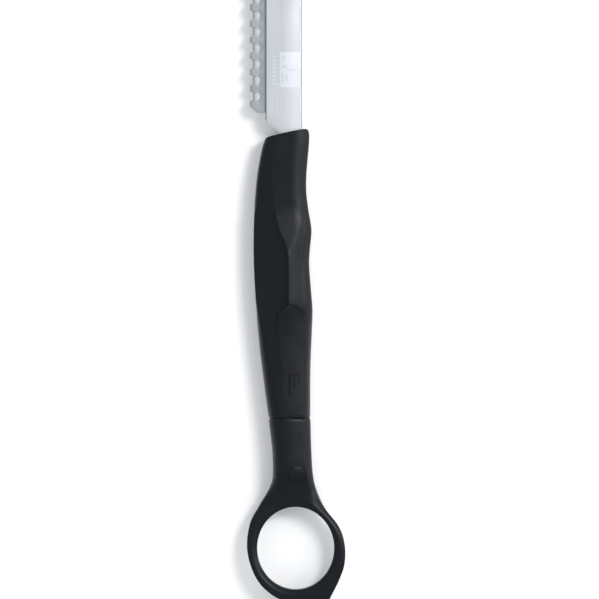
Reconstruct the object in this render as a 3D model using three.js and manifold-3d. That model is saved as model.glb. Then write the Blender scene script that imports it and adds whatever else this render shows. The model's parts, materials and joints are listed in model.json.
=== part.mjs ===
// A styling razor: a guarded, replaceable blade in a folded steel carrier, a moulded handle,
// and a finger ring that swivels freely on the end of the handle.
//
// Millimetres. X runs across the tool, Y along it towards the blade's tip, Z up from the surface
// it lies on. The pieces are drawn with Y = 0 at the swivel gap and X = 0 on the swivel axis;
// the last lines move the origin to the middle of the whole tool's footprint.

import * as THREE from 'three';
import { mergeVertices } from 'three/addons/utils/BufferGeometryUtils.js';
import Module from 'manifold-3d';

const wasm = await Module();
wasm.setup();

// ---------------------------------------------------------------- driving dimensions

const AXIS_Z = 6.3; // height of the swivel axis, which is also the plane of the blade
const PARTING_GAP = 0.1; // visible line between the two handle shells
const SWIVEL_GAP = 0.3; // open line between the handle and the ring's neck
const FIT = 0.3; // clearance round a piece that sits in another
const FAR = 60; // past every surface, for cutting tools

// Handle outline: [y, x] stations up the left and the right side, and heights over the axis.
const handleLeft = smooth([
  [0, -6.05], [1, -6.35], [11.3, -7.75], [23.2, -9.15], [35.1, -10.1], [47, -10.7], [56, -10.7],
  [65, -10.35], [71, -9.85], [77, -8.9], [81, -8.0], [88, -5.6],
]);
const handleRight = smooth([
  [0, 6.0], [1, 6.12], [14, 6.17], [26, 6.62], [32, 6.82], [38, 6.37], [46, 5.82], [50, 6.02],
  [56, 6.47], [62, 5.57], [67, 4.97], [72, 4.97], [78, 5.45], [82, 5.8], [88, 5.9],
]);
const frontHeight = smooth([[0, 5.9], [1, 6.0], [12, 5.9], [33, 5.7], [50, 5.15], [65, 4.85], [88, 4.45]]);
const ridgeHeight = smooth([[28, 6.5], [34, 6.65], [41, 6.5], [48, 6.3], [51, 6.1], [57, 5.5], [68, 4.4]]);
const backDepth = smooth([[0, 5.9], [1, 6.0], [6, 6.3], [14, 6.6], [70, 6.6], [79, 6.3], [88, 4.9]]);
const handleSquareness = smooth([[0, 3], [20, 3.1], [40, 4.4], [88, 5]]);
const HANDLE_STATIONS = [
  0, 0.6, 1.2, 6, 12, 18, 24, 28, 31, 34, 38, 42, 46, 50, 53, 56, 59, 62, 65, 69, 74, 79, 83, 88,
];
const SECTION_POINTS = 32;

// Two flats down which the front falls to its right side: their angles, and how far in they start.
const SIDE_ANGLES = [15, 50];
const SIDE_EDGE = 1.6;
const slopeStart = smooth([[0, 4.6], [30, 4.1], [36, 3.9], [48, 3.5], [56, 3.5], [70, 3.1], [85, 3.5]]);
const NECK_SLOPE_START = 4.6;

// Thumb flat: its right-hand edge, its height there, and how steeply it falls to the left.
const thumbEdge = smooth([
  [-1, -1.2], [8, -2.0], [24, -3.4], [29.3, -3.66], [31, -3.34], [32.3, -2.4], [33, -1.3],
  [33.5, -0.5], [50, -0.8], [55, -2.9], [60, -4.4], [65, -5.2], [80, -5.6],
]);
const thumbHeight = smooth([
  [-1, 13.2], [6, 12.5], [16, 12.0], [24, 11.6], [31, 11.0], [35, 11.05], [46, 11.05], [56, 10.95],
  [66, 11.0], [80, 11.4],
]);
const THUMB_SLOPE = 0.12;
const THUMB_STATIONS = [
  -1, 4, 10, 18, 26, 29.3, 31, 32.3, 33, 33.5, 40, 47, 50, 53, 56, 59, 62, 65, 70, 80,
];

// Inlay: a plate between two circles, one in each handle shell.
const INLAY_TOP = { x: 0.15, y: 29.5, radius: 3.8 };
const INLAY_FOOT = { x: 1.6, y: 4.4, radius: 3.0 };
const INLAY_THICKNESS = 1.0;
const INLAY_EDGE_GAP = 0.12;

// Blade carrier, guard and blade.
const CARRIER = { left: -7.1, right: 3.66, root: 84.5, foot: 78, tip: 161, sheet: 0.5, half: 1.65 };
const CARRIER_NECK_LEFT = -3.2; // where the slanted root meets the handle
const CARRIER_SLANT_TOP = 88.6; // and where it meets the carrier's left edge
const CORE_HALF = 0.85; // half thickness of the bar inside the carrier
const TANG = { left: -2.9, right: 2.4, end: 50, hole: 1.4 };
const BLADE = { edge: -10.9, spine: -3.3, bevel: 1.1, start: 93.4, length: 62, half: 0.12 };
const GUARD = { nose: -11.9, inner: -3.6, start: 90.8, end: 158.3, sheet: 0.4, half: 0.85 };
const SLOTS = { count: 13, first: 95.7, pitch: 4.82, height: 2.4, depthTo: -8.8 };

// Ring and swivel.
const HOLE = { x: 1.77, y: -38.7, rx: 11.46, ry: 12.3 };
const RING_HALF = 3.0; // half thickness of the ring
const RING_BEVEL = 1.1;
const AXLE = { radius: 1.5, top: 17, bottom: -20 };
const BUSH = { inner: 1.57, outer: 3.0 };
const BUSHES = { axle_bush_lower: [0.5, 4.8], axle_bush_upper: [8.6, 12.8] };
const WASHER = { inner: 1.8, outer: 4.1, thickness: 0.5 };
const COLLAR = { radius: 5.7, end: -0.07 }; // closes the swivel line round the thrust washer
const CROSS_PIN = { x: 2.17, y: -16.8, head: 2.6, shank: 1.2 };
const CHAMBER = { radius: 3.5, start: 12.9, end: 18.5 };
const CLIP = { start: 14.0, thickness: 0.6, inner: 1.2, outer: 2.8, groove: 1.1 };

// Screws, put in from the back.
const SCREWS = { shell_screw_1: [-0.2, 73], shell_screw_2: [-0.2, 57], shell_screw_3: [-1.2, 41] };
const SCREW = { head: 1.9, headLow: 0.35, headHigh: 1.6, shank: 1.0, top: 9.6 };
const BOSS_RADIUS = 3.2;
const WALL = 2.3; // shell wall beside the hollow of the handle
const HOLLOW = { start: 21, end: 47.5 };

// ---------------------------------------------------------------- curves and solids

/** A smooth value(t) through [t, value] stations: cubic pieces with averaged slopes. */
function smooth(stations) {
  const slopes = stations.map((_, i) => {
    const before = stations[Math.max(i - 1, 0)];
    const after = stations[Math.min(i + 1, stations.length - 1)];
    return (after[1] - before[1]) / (after[0] - before[0]);
  });
  return (t) => {
    let i = 0;
    while (i < stations.length - 2 && t > stations[i + 1][0]) i += 1;
    const [t0, v0] = stations[i];
    const [t1, v1] = stations[i + 1];
    const span = t1 - t0;
    const u = THREE.MathUtils.clamp((t - t0) / span, 0, 1);
    const rise = v1 - v0;
    const bend0 = slopes[i] * span - rise;
    const bend1 = slopes[i + 1] * span - rise;
    return v0 + rise * u + u * (1 - u) * (bend0 * (1 - u) - bend1 * u);
  };
}

/** A closed three.js geometry as a solid that can be joined and cut. */
function solidFrom(geometry) {
  const bare = geometry.clone();
  bare.deleteAttribute('normal');
  bare.deleteAttribute('uv');
  const merged = mergeVertices(bare, 1e-4);
  return new wasm.Manifold(new wasm.Mesh({
    numProp: 3,
    vertProperties: Float32Array.from(merged.attributes.position.array),
    triVerts: Uint32Array.from(merged.index.array),
  }));
}

/** A solid back as a three.js geometry. */
function geometryFrom(solid) {
  const mesh = solid.getMesh();
  const geometry = new THREE.BufferGeometry();
  geometry.setAttribute('position', new THREE.BufferAttribute(mesh.vertProperties, 3));
  geometry.setIndex(new THREE.BufferAttribute(mesh.triVerts, 1));
  geometry.computeVertexNormals();
  return geometry;
}

/** A flat outline, given as points or a Shape, raised from z0 to z1. */
function prism(outline, z0, z1) {
  const shape = Array.isArray(outline) ? new THREE.Shape(outline) : outline;
  const geometry = new THREE.ExtrudeGeometry(shape, { depth: z1 - z0, bevelEnabled: false });
  return solidFrom(geometry.translate(0, 0, z0));
}

function slab(x0, x1, y0, y1, z0, z1) {
  const geometry = new THREE.BoxGeometry(x1 - x0, y1 - y0, z1 - z0);
  return solidFrom(geometry.translate((x0 + x1) / 2, (y0 + y1) / 2, (z0 + z1) / 2));
}

/** A round bar along Y, centred on the swivel axis. */
function rod(radius, y0, y1, sides = 24) {
  const geometry = new THREE.CylinderGeometry(radius, radius, y1 - y0, sides);
  return solidFrom(geometry.translate(0, (y0 + y1) / 2, AXIS_Z));
}

/** A round bar along Z. */
function peg(x, y, radius, z0, z1, sides = 24) {
  const geometry = new THREE.CylinderGeometry(radius, radius, z1 - z0, sides);
  return solidFrom(geometry.rotateX(Math.PI / 2).translate(x, y, (z0 + z1) / 2));
}

/** A solid through closed [x, z] sections, one at each y, all with the same number of points. */
function loft(stations, sectionAt) {
  const positions = [];
  const triangles = [];
  const sections = stations.map(sectionAt);
  const count = sections[0].length;
  sections.forEach((section, i) => {
    section.forEach(([x, z]) => positions.push(x, stations[i], z));
  });
  for (let i = 0; i < sections.length - 1; i += 1) {
    for (let k = 0; k < count; k += 1) {
      const a = i * count + k;
      const b = i * count + (k + 1) % count;
      triangles.push(a, a + count, b, b, a + count, b + count);
    }
  }
  const last = (sections.length - 1) * count;
  for (let k = 1; k < count - 1; k += 1) {
    triangles.push(0, k, k + 1, last, last + k + 1, last + k);
  }
  const geometry = new THREE.BufferGeometry();
  geometry.setAttribute('position', new THREE.Float32BufferAttribute(positions, 3));
  geometry.setIndex(triangles);
  return solidFrom(geometry);
}

/** A rounded section: squareness 2 is an ellipse, and more is boxier. */
function ovalSection(left, right, up, down, squareness, count) {
  const middle = (left + right) / 2;
  const half = (right - left) / 2;
  const power = 2 / squareness;
  return Array.from({ length: count }, (_, k) => {
    const angle = (2 * Math.PI * k) / count;
    const across = Math.cos(angle);
    const along = Math.sin(angle);
    const height = along > 0 ? up : down;
    return [
      middle + half * Math.sign(across) * Math.abs(across) ** power,
      AXIS_Z + height * Math.sign(along) * Math.abs(along) ** power,
    ];
  });
}

/** The points of a round-ended plate between two circles, grown by a margin. */
function taperedSlot(top, foot, margin) {
  const lean = Math.atan2(top.x - foot.x, top.y - foot.y);
  const steps = 10;
  const arc = (centre, start) => Array.from({ length: steps + 1 }, (_, k) => {
    const angle = start - lean + (Math.PI * k) / steps;
    return new THREE.Vector2(
      centre.x + (centre.radius + margin) * Math.cos(angle),
      centre.y + (centre.radius + margin) * Math.sin(angle),
    );
  });
  return [...arc(top, 0), ...arc(foot, Math.PI)];
}

// ---------------------------------------------------------------- handle

/** The handle's body, every surface moved inwards by inset, with a chosen front height. */
function handleLoft(inset, front) {
  return loft(HANDLE_STATIONS, (y) => ovalSection(
    handleLeft(y) + inset,
    handleRight(y) - inset,
    front(y) - inset,
    backDepth(y) - inset,
    handleSquareness(y),
    SECTION_POINTS,
  ));
}

/** The space over the flats down which a front surface falls to its right side. */
function sideCutter(stations, right, top, start) {
  const [gentle, steep] = SIDE_ANGLES.map(THREE.MathUtils.degToRad);
  const overhang = 2;
  return loft(stations, (y) => {
    const side = right(y);
    const high = AXIS_Z + top(y);
    const middle = high - (start(y) - SIDE_EDGE) * Math.tan(gentle);
    const low = middle - (SIDE_EDGE + overhang) * Math.tan(steep);
    return [
      [side - start(y), high], [side - SIDE_EDGE, middle], [side + overhang, low],
      [side + overhang, FAR], [side - start(y), FAR],
    ];
  });
}

/** The handle's outer body, with a chosen front height. */
function handleBody(front) {
  return handleLoft(0, front).subtract(sideCutter(HANDLE_STATIONS, handleRight, front, slopeStart));
}

/** Everything past the handle's slanted blade end. */
function handleEndCutter() {
  const edge = new THREE.SplineCurve([
    [-9.4, 80.0], [-7.9, 82.5], [-6.6, 83.5], [-2.4, 84.6], [2.7, 85.7], [4.5, 85.95], [5.3, 85.8],
    [5.8, 84.9], [6.4, 82.6],
  ].map(([x, y]) => new THREE.Vector2(x, y))).getPoints(24);
  const beyond = [[FAR, 83], [FAR, FAR * 2], [-FAR, FAR * 2], [-FAR, 80]];
  return prism([...edge, ...beyond.map(([x, y]) => new THREE.Vector2(x, y))], -FAR, FAR);
}

/** The finger ridge's ground plan: from the arch over the inlay to the top of the thumb flat. */
function ridgePlan() {
  const arch = [];
  const steps = 10;
  for (let k = 0; k <= steps; k += 1) {
    const angle = Math.PI - (Math.PI * k) / steps;
    arch.push(new THREE.Vector2(
      INLAY_TOP.x + INLAY_TOP.radius * Math.cos(angle),
      INLAY_TOP.y + INLAY_TOP.radius * Math.sin(angle),
    ));
  }
  const around = [[FAR, INLAY_TOP.y - 1.5], [FAR, 66], [-FAR, 66], [-FAR, INLAY_TOP.y]];
  return [...arch, ...around.map(([x, y]) => new THREE.Vector2(x, y))];
}

/** The space over the thumb flat, to be cut away. */
function thumbCutter() {
  return loft(THUMB_STATIONS, (y) => {
    const edge = thumbEdge(y);
    const high = thumbHeight(y);
    const low = high - THUMB_SLOPE * (edge + FAR);
    return [[-FAR, low], [edge, high], [edge, FAR], [-FAR, FAR]];
  });
}

/** The handle's outer form before it is split into shells. */
function handleForm() {
  const ridge = handleBody(ridgeHeight).intersect(prism(ridgePlan(), AXIS_Z + 1, FAR));
  return handleBody(frontHeight)
    .add(ridge)
    .subtract(thumbCutter())
    .subtract(handleEndCutter())
    .subtract(slab(-FAR, FAR, -FAR, 2 * FAR, -FAR, 0));
}

/** What both shells leave open: carrier, tang, hollow grip, swivel parts and screws. */
function handleOpenings() {
  const hollow = handleLoft(WALL, frontHeight)
    .intersect(slab(-FAR, FAR, HOLLOW.start, HOLLOW.end, -FAR, FAR))
    .subtract(peg(...SCREWS.shell_screw_3, BOSS_RADIUS, -FAR, FAR));
  const half = CARRIER.half + FIT;
  const tangHalf = CORE_HALF + FIT;
  const pieces = [
    hollow,
    slab(CARRIER_NECK_LEFT - FIT, CARRIER.right + FIT, CARRIER.foot - FIT, 90, AXIS_Z - half, AXIS_Z + half),
    slab(TANG.left - FIT, TANG.right + FIT, TANG.end - FIT, 80, AXIS_Z - tangHalf, AXIS_Z + tangHalf),
    rod(AXLE.radius + 0.5, -1, CHAMBER.end),
    rod(CHAMBER.radius, CHAMBER.start, CHAMBER.end),
  ];
  Object.values(BUSHES).forEach(([start, end]) => {
    pieces.push(rod(BUSH.outer + 0.15, start - 0.1, end + 0.1));
  });
  Object.values(SCREWS).forEach(([x, y]) => {
    pieces.push(peg(x, y, SCREW.head + 0.2, -1, SCREW.headHigh + 0.2));
    pieces.push(peg(x, y, SCREW.shank + 0.15, 0, SCREW.top + 0.3, 16));
  });
  return pieces.reduce((all, piece) => all.add(piece));
}

/** The shallow pocket that an inlay sits in, open to the front or the back. */
function inlayPocket() {
  const plan = prism(taperedSlot(INLAY_TOP, INLAY_FOOT, 0), -FAR, FAR);
  return plan.subtract(handleLoft(INLAY_THICKNESS + FIT, frontHeight));
}

/** Both shells, front first. */
function handleShells() {
  const form = handleForm().subtract(inlayPocket()).subtract(handleOpenings());
  const joint = PARTING_GAP / 2;
  return [
    form.intersect(slab(-FAR, FAR, -FAR, 2 * FAR, AXIS_Z + joint, FAR)),
    form.intersect(slab(-FAR, FAR, -FAR, 2 * FAR, -FAR, AXIS_Z - joint)),
  ];
}

/** Both inlays, front first: thin plates that follow the handle's surface. */
function gripInlays() {
  const plan = prism(taperedSlot(INLAY_TOP, INLAY_FOOT, -INLAY_EDGE_GAP), 0.05, FAR);
  const plate = handleBody(frontHeight)
    .subtract(handleLoft(INLAY_THICKNESS, frontHeight))
    .intersect(plan);
  return [
    plate.subtract(thumbCutter()).intersect(slab(-FAR, FAR, -FAR, FAR, AXIS_Z + 1, FAR)),
    plate.intersect(slab(-FAR, FAR, -FAR, FAR, -FAR, AXIS_Z - 1)),
  ];
}

/** A shell screw: pan head with a cross recess at the back, plain shank. */
function shellScrew([x, y]) {
  const recess = 1.3;
  const slot = 0.3;
  const depth = 0.7;
  const { head, headLow, headHigh, shank, top } = SCREW;
  return peg(x, y, head, headLow, headHigh)
    .add(peg(x, y, shank, headHigh - 0.1, top, 16))
    .subtract(slab(x - recess, x + recess, y - slot, y + slot, headLow - 1, headLow + depth))
    .subtract(slab(x - slot, x + slot, y - recess, y + recess, headLow - 1, headLow + depth));
}

// ---------------------------------------------------------------- blade unit

/** Sheet folded into a U that opens sideways: the nose is at noseX, the open ends at openX. */
function foldedSheet(noseX, openX, half, sheet, y0, y1) {
  const side = Math.sign(openX - noseX);
  const steps = 6;
  const wrap = (radius) => Array.from({ length: steps + 1 }, (_, k) => {
    const angle = Math.PI / 2 - (Math.PI * k) / steps;
    return [
      noseX + side * half - side * radius * Math.cos(angle),
      AXIS_Z + radius * Math.sin(angle),
    ];
  });
  const outer = [[openX, AXIS_Z + half], ...wrap(half), [openX, AXIS_Z - half]];
  const inside = half - sheet;
  const inner = [[openX, AXIS_Z - inside], ...wrap(inside).reverse(), [openX, AXIS_Z + inside]];
  const section = [...outer, ...inner].map(([x, z]) => new THREE.Vector2(x, z));
  const geometry = new THREE.ExtrudeGeometry(new THREE.Shape(section), {
    depth: y1 - y0,
    bevelEnabled: false,
  });
  return solidFrom(geometry.rotateX(Math.PI / 2).translate(0, y1, 0));
}

/** Folded steel carrier: spine on the right, slanted root, rounded tip. */
function carrierChannel() {
  const { left, right, foot, root, tip, sheet, half } = CARRIER;
  const corner = 1.6;
  const plan = new THREE.Shape();
  plan.moveTo(CARRIER_NECK_LEFT, foot);
  plan.lineTo(right + 1, foot);
  plan.lineTo(right + 1, tip);
  plan.lineTo(left + corner, tip);
  plan.absarc(left + corner, tip - corner, corner, Math.PI / 2, Math.PI, false);
  plan.lineTo(left, CARRIER_SLANT_TOP);
  plan.lineTo(CARRIER_NECK_LEFT, root);
  return foldedSheet(right, left, half, sheet, foot, tip).intersect(prism(plan, -FAR, FAR));
}

/** Solid bar inside the carrier: root that the blade stops on, spine bar, and tang with holes. */
function carrierCore() {
  const barLeft = -1.6;
  const barEnd = CARRIER.tip - 0.8;
  const stop = BLADE.start - 0.4;
  const outline = [
    [TANG.left, TANG.end], [TANG.right, TANG.end], [TANG.right, barEnd], [barLeft, barEnd],
    [barLeft, stop], [-3.4, stop], [-3.4, 90.3], [-6.6, 90.3], [-6.6, 88.8], [TANG.left, 85],
  ].map(([x, y]) => new THREE.Vector2(x, y));
  return [SCREWS.shell_screw_1, SCREWS.shell_screw_2].reduce(
    (bar, [x, y]) => bar.subtract(peg(x, y, TANG.hole, -FAR, FAR, 16)),
    prism(outline, AXIS_Z - CORE_HALF, AXIS_Z + CORE_HALF),
  );
}

/** Waved leaf between the bar and the blade's back, which holds the blade by friction. */
function bladeSpring() {
  const strip = 0.25;
  const start = 97;
  const length = 52;
  const waves = 4;
  const steps = 32;
  const middle = -2.45;
  const edge = (offset) => Array.from({ length: steps + 1 }, (_, k) => new THREE.Vector2(
    middle + offset + 0.4 * Math.cos((2 * Math.PI * waves * k) / steps),
    start + (length * k) / steps,
  ));
  const outline = [...edge(strip / 2), ...edge(-strip / 2).reverse()];
  return prism(outline, AXIS_Z - 0.6, AXIS_Z + 0.6);
}

/** Comb guard: a U of sheet over the cutting edge, slotted so that the edge shows between teeth. */
function combGuard() {
  const { nose, inner, start, end, sheet, half } = GUARD;
  const corner = 3.6;
  const tip = 0.7;
  const plan = new THREE.Shape();
  plan.moveTo(inner, start);
  plan.lineTo(inner, end);
  plan.lineTo(nose + corner, end);
  plan.absarc(nose + corner, end - corner, corner, Math.PI / 2, Math.PI, false);
  for (let k = SLOTS.count - 1; k >= 0; k -= 1) {
    const y = SLOTS.first + k * SLOTS.pitch;
    const low = y - SLOTS.height / 2;
    const high = y + SLOTS.height / 2;
    const arcX = SLOTS.depthTo - SLOTS.height / 2;
    if (k < SLOTS.count - 1) plan.lineTo(nose, high + tip);
    plan.lineTo(nose + tip, high);
    plan.lineTo(arcX, high);
    plan.absarc(arcX, y, SLOTS.height / 2, Math.PI / 2, -Math.PI / 2, true);
    plan.lineTo(nose + tip, low);
    if (k > 0) plan.lineTo(nose, low - tip);
  }
  plan.absarc(nose + corner, start + corner, corner, Math.PI, Math.PI * 1.5, false);
  const cutter = new THREE.ExtrudeGeometry(plan, {
    depth: 8,
    bevelEnabled: false,
    curveSegments: 4,
  });
  return foldedSheet(nose, inner, half, sheet, start, end).intersect(solidFrom(cutter));
}

/** Single-edged blade with a ground cutting edge on the left. */
function razorBlade() {
  const { edge, spine, bevel, start, length, half } = BLADE;
  const section = [
    [edge, 0], [edge + bevel, -half], [spine, -half], [spine, half], [edge + bevel, half],
  ].map(([x, z]) => new THREE.Vector2(x, z + AXIS_Z));
  const geometry = new THREE.ExtrudeGeometry(new THREE.Shape(section), {
    depth: length,
    bevelEnabled: false,
  });
  return solidFrom(geometry.rotateX(Math.PI / 2).translate(0, start + length, 0));
}

// ---------------------------------------------------------------- finger ring and swivel

/** Flat part of the ring: outer outline with its finger rest, and the finger hole. */
function ringPlate() {
  const outline = new THREE.SplineCurve([
    [6.0, -13], [6.9, -17], [8.2, -22], [10.6, -26.8], [14.5, -32.1], [16.28, -37], [16.38, -43],
    [14.68, -48.2], [11.98, -53.6], [10.15, -58], [9.3, -62.4], [8.5, -64.9], [6.8, -65.8], [5.2, -64.7],
    [4.6, -61.6], [3.2, -57.5], [0, -55.2], [-4.6, -53.0], [-8.9, -49.2], [-11.6, -43.9], [-12.7, -37.8],
    [-11.7, -31], [-9.0, -25.9], [-6.2, -21.2], [-4.9, -17], [-4.6, -13],
  ].map(([x, y]) => new THREE.Vector2(x, y))).getPoints(60);
  const shape = new THREE.Shape(outline);
  const hole = new THREE.EllipseCurve(HOLE.x, HOLE.y, HOLE.rx, HOLE.ry).getPoints(40);
  shape.holes.push(new THREE.Path(hole.slice(1)));
  const geometry = new THREE.ExtrudeGeometry(shape, {
    depth: 2 * (RING_HALF - RING_BEVEL),
    bevelThickness: RING_BEVEL,
    bevelSize: RING_BEVEL,
    bevelOffset: -RING_BEVEL,
    bevelSegments: 2,
  });
  return solidFrom(geometry.translate(0, 0, AXIS_Z - RING_HALF + RING_BEVEL));
}

const neckLeft = smooth([
  [-25.4, -8.7], [-23.2, -7.25], [-21.4, -6.3], [-19.6, -5.55], [-17.9, -5.1], [-15, -4.98],
  [-10.7, -5.15], [-7.1, -5.45], [-3.6, -5.85], [-1, -6.15], [-0.15, -6.0],
]);
const neckRight = smooth([
  [-25.4, 9.8], [-23.2, 8.65], [-21.4, 8.0], [-19.6, 7.45], [-17.9, 7.1], [-14.3, 6.7],
  [-7.1, 6.38], [-1, 6.22], [-0.15, 6.1],
]);
const neckHalf = smooth([
  [-25.4, 3.1], [-22, 4.2], [-19.5, 5.05], [-17, 5.65], [-14, 5.95], [-10, 6.02], [-1, 6.1],
  [-0.15, 6.0],
]);
const NECK_STATIONS = [-25.4, -24, -22.5, -21, -19.5, -17.9, -16, -13, -10, -6, -2, -1, -0.15];
const NECK_SQUARENESS = 3;

/** The neck between the swivel gap and the ring, every surface moved inwards by inset. */
function neckLoft(inset) {
  return loft(NECK_STATIONS, (y) => ovalSection(
    neckLeft(y) + inset,
    neckRight(y) - inset,
    neckHalf(y) - inset,
    neckHalf(y) - inset,
    NECK_SQUARENESS,
    SECTION_POINTS,
  )).subtract(sideCutter(
    NECK_STATIONS,
    (y) => neckRight(y) - inset,
    (y) => neckHalf(y) - inset,
    () => NECK_SLOPE_START,
  ));
}

/** The whole ring moulding, bored for the axle, its washer and its cross pin. */
function fingerRing() {
  const { x, y, head, shank } = CROSS_PIN;
  return neckLoft(0)
    .add(rod(COLLAR.radius, -1, COLLAR.end))
    .add(ringPlate())
    .subtract(rod(AXLE.radius + 0.2, AXLE.bottom - FIT, 1))
    .subtract(rod(WASHER.outer + FIT, -SWIVEL_GAP / 2 - WASHER.thickness - FIT, 1))
    .subtract(peg(x, y, head + 0.1, AXIS_Z + 3, FAR))
    .subtract(peg(x, y, shank + 0.15, -FAR, FAR, 16));
}

/** Pin across the neck, in a notch at the side of the axle, so that the axle can't pull out. */
function crossPin() {
  const { x, y, head, shank } = CROSS_PIN;
  return peg(x, y, head, AXIS_Z + 3.2, FAR)
    .add(peg(x, y, shank, 0, AXIS_Z + 4, 16))
    .intersect(neckLoft(0.12));
}

function swivelAxle() {
  const { radius, top, bottom } = AXLE;
  const { start, thickness, groove } = CLIP;
  const ringOfGroove = rod(radius + 1, start - 0.1, start + thickness + 0.1)
    .subtract(rod(groove, start - 1, start + thickness + 1));
  return rod(radius, bottom, top)
    .subtract(ringOfGroove)
    .subtract(peg(CROSS_PIN.x, CROSS_PIN.y, CROSS_PIN.shank + 0.15, -FAR, FAR, 16));
}

function sleeve(inner, outer, y0, y1) {
  return rod(outer, y0, y1).subtract(rod(inner, y0 - 1, y1 + 1));
}

/** Spring clip in the axle's groove, open on one side. */
function axleClip() {
  const { start, thickness, inner, outer } = CLIP;
  return sleeve(inner, outer, start, start + thickness)
    .subtract(slab(-0.8, 0.8, start - 1, start + 2, AXIS_Z, AXIS_Z + outer + 1));
}

/** Crinkled spring washer under the clip. */
function waveWasher() {
  const start = BUSHES.axle_bush_upper[1] + 0.25;
  return sleeve(1.7, 2.7, start, start + 0.4);
}

function thrustWasher() {
  const end = -SWIVEL_GAP / 2;
  return sleeve(WASHER.inner, WASHER.outer, end - WASHER.thickness, end);
}

// ---------------------------------------------------------------- materials and assembly

const steel = (color, roughness) => ({ color, roughness, metalness: 1 });
const plastic = (color, roughness) => ({ color, roughness, metalness: 0 });
const FINISHES = {
  satinSteel: steel(0xc9ccd0, 0.35),
  guardSteel: steel(0x9aa1a8, 0.4),
  bladeSteel: steel(0xe2e5e8, 0.15),
  plainSteel: steel(0xa6a9ad, 0.3),
  blackPlastic: plastic(0x1b1e22, 0.4),
  inlayRubber: plastic(0x17191c, 0.6),
  bronze: steel(0xa9824a, 0.4),
  nylon: plastic(0xe6e2d6, 0.5),
};

const tool = new THREE.Group();

function place(name, solid, finish) {
  const mesh = new THREE.Mesh(geometryFrom(solid), new THREE.MeshStandardMaterial(finish));
  mesh.name = name;
  tool.add(mesh);
}

const [frontShell, rearShell] = handleShells();
const [frontInlay, rearInlay] = gripInlays();
place('handle_front_shell', frontShell, FINISHES.blackPlastic);
place('handle_rear_shell', rearShell, FINISHES.blackPlastic);
place('grip_inlay_front', frontInlay, FINISHES.inlayRubber);
place('grip_inlay_rear', rearInlay, FINISHES.inlayRubber);
place('carrier_channel', carrierChannel(), FINISHES.satinSteel);
place('carrier_core', carrierCore(), FINISHES.plainSteel);
place('blade_spring', bladeSpring(), FINISHES.plainSteel);
place('comb_guard', combGuard(), FINISHES.guardSteel);
place('razor_blade', razorBlade(), FINISHES.bladeSteel);
place('finger_ring', fingerRing(), FINISHES.blackPlastic);
place('ring_cross_pin', crossPin(), FINISHES.blackPlastic);
place('swivel_axle', swivelAxle(), FINISHES.plainSteel);
place('axle_clip', axleClip(), FINISHES.plainSteel);
place('wave_washer', waveWasher(), FINISHES.plainSteel);
place('thrust_washer', thrustWasher(), FINISHES.nylon);
Object.entries(BUSHES).forEach(([name, [start, end]]) => {
  place(name, sleeve(BUSH.inner, BUSH.outer, start, end), FINISHES.bronze);
});
Object.entries(SCREWS).forEach(([name, spot]) => {
  place(name, shellScrew(spot), FINISHES.plainSteel);
});

const box = new THREE.Box3().setFromObject(tool);
const middle = box.getCenter(new THREE.Vector3());
tool.position.set(-middle.x, -middle.y, -box.min.z);

export default tool;
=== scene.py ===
"""Looks of a styling razor: a guarded blade in a folded carrier, a handle and a swivelling finger ring.

Shapes are worked out in millimetres from the swivel: X across the tool, Y along it towards the blade's
tip, Z up from the surface it lies on. Moulded pieces are surfaces of smooth distance fields; sheet pieces
are flat patterns, folded and thickened.
"""

import json
import math

import bmesh
import bpy
import numpy as np
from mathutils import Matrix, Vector


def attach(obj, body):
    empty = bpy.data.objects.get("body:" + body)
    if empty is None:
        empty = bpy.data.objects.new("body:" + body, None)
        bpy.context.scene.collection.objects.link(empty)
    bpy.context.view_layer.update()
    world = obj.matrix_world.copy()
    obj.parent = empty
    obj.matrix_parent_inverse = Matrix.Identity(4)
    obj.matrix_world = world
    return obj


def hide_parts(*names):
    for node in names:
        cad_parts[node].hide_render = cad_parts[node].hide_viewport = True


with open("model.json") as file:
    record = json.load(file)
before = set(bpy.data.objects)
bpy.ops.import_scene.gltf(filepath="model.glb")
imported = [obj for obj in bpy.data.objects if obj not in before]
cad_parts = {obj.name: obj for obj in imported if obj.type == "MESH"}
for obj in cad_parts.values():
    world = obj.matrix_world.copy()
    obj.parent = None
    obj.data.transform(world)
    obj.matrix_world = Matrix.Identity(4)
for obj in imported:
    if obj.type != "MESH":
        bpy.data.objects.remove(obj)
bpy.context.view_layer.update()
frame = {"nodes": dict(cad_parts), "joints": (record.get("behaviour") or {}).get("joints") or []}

MM = 0.001
SWIVEL = next(j for j in frame["joints"] if j["name"] == "ring_swivel")["pos_m"]
AXIS = SWIVEL[2] / MM  # height of the swivel axis and of the blade plane

# ---------------------------------------------------------------- curves and fields

SIDE_ANGLES = (13, 50)  # slopes, in degrees, of the two flats down a front surface's right side
SIDE_EDGE = 2.0  # how far in from the right side the steeper slope starts
SIDE_ROUND = 0.5
DEEP = -8.0  # the least distance an oval section gives, however far inside it a spot is
LEAST = 0.05  # divisors are kept at least this large


def smooth(*stations):
    """value(t) through (t, value) stations: cubic pieces with averaged slopes."""
    t = np.array([s[0] for s in stations], float)
    v = np.array([s[1] for s in stations], float)
    slope = np.empty_like(v)
    slope[1:-1] = (v[2:] - v[:-2]) / (t[2:] - t[:-2])
    slope[0] = (v[1] - v[0]) / (t[1] - t[0])
    slope[-1] = (v[-1] - v[-2]) / (t[-1] - t[-2])

    def value(at):
        i = np.clip(np.searchsorted(t, at, side="right") - 1, 0, len(t) - 2)
        span = t[i + 1] - t[i]
        u = np.clip((at - t[i]) / span, 0, 1)
        rise = v[i + 1] - v[i]
        bend0 = slope[i] * span - rise
        bend1 = slope[i + 1] * span - rise
        return v[i] + rise * u + u * (1 - u) * (bend0 * (1 - u) - bend1 * u)

    return value


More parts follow.
